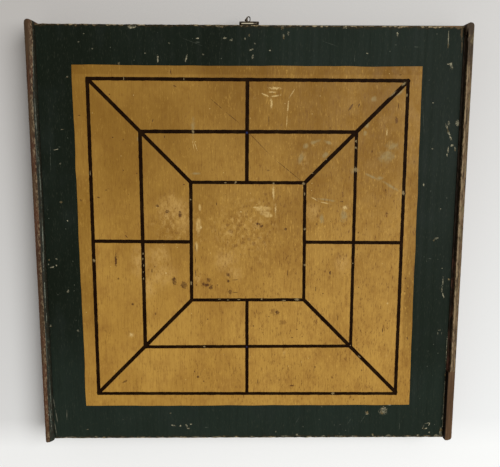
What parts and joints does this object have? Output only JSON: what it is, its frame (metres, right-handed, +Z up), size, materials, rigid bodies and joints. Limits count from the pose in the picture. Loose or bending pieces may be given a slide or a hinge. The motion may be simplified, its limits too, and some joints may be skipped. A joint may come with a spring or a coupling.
{
  "type": "nine mens morris box",
  "caption": "Flat square folding game box: two hinged wooden trays, with the mill board painted on the lid, side rails and a small hasp.",
  "frame": {"origin": "on the ground under the middle of the closed box, which lies flat on the two rails of its base", "axes": "+Z up, out of the painted mill board; +Y towards the hasp edge, with the hinges on the -Y edge; +X to the right as the board is looked at with the hasp at the top"},
  "size_m": [0.3824, 0.39, 0.036],
  "materials": {
    "green_painted_wood": "dark bottle-green oil paint, worn and chipped to bare wood at the edges",
    "ochre_paint": "ochre oil paint over wood grain, mottled, stained and scratched",
    "black_paint": "black brushed paint line, satin",
    "worn_brown_wood": "old brown wood, rubbed and chipped",
    "rusty_iron": "dark rusted iron",
    "aged_brass": "dull brown tarnished brass",
    "light_wood": "turned light boxwood, waxed",
    "dark_wood": "turned dark stained wood, waxed"
  },
  "bodies": {
    "base": {"back_panel": "green_painted_wood", "base_left_rail": "worn_brown_wood", "base_right_rail": "worn_brown_wood", "base_hasp_wall": "green_painted_wood", "base_hinge_wall": "green_painted_wood", "base_rail_nails": "rusty_iron", "base_hinge_screws": "aged_brass", "hasp_leaf": "aged_brass", "hasp_screws": "aged_brass", "hasp_pin": "aged_brass", "light_men": "light_wood", "dark_men": "dark_wood", "left_hinge_base_leaf": "aged_brass", "left_hinge_pin": "rusty_iron", "right_hinge_base_leaf": "aged_brass", "right_hinge_pin": "rusty_iron"},
    "lid": {"mill_panel": "green_painted_wood", "field_paint": "ochre_paint", "mill_lines": "black_paint", "lid_left_rail": "worn_brown_wood", "lid_right_rail": "worn_brown_wood", "lid_hasp_wall": "green_painted_wood", "lid_hinge_wall": "green_painted_wood", "lid_rail_nails": "rusty_iron", "lid_hinge_screws": "aged_brass", "staple_plate": "aged_brass", "staple_pins": "aged_brass", "left_hinge_lid_leaf": "aged_brass", "right_hinge_lid_leaf": "aged_brass"},
    "hasp": {"hasp_strap": "aged_brass"},
    "staple": {"swivel_staple": "aged_brass"}
  },
  "joints": [
    {"name": "lid_hinge", "type": "hinge", "parent": "base", "child": "lid", "pos_m": [0, -0.1927, 0.018], "axis": [1, 0, 0], "range_deg": [0, 180]},
    {"name": "hasp_swing", "type": "hinge", "parent": "base", "child": "hasp", "pos_m": [-0.001, 0.18915, 0.0156], "axis": [-1, 0, 0], "range_deg": [0, 110]},
    {"name": "staple_turn", "type": "hinge", "parent": "lid", "child": "staple", "pos_m": [-0.0025, 0.1873, 0.0242], "axis": [0, 1, 0], "range_deg": [0, 90]}
  ]
}
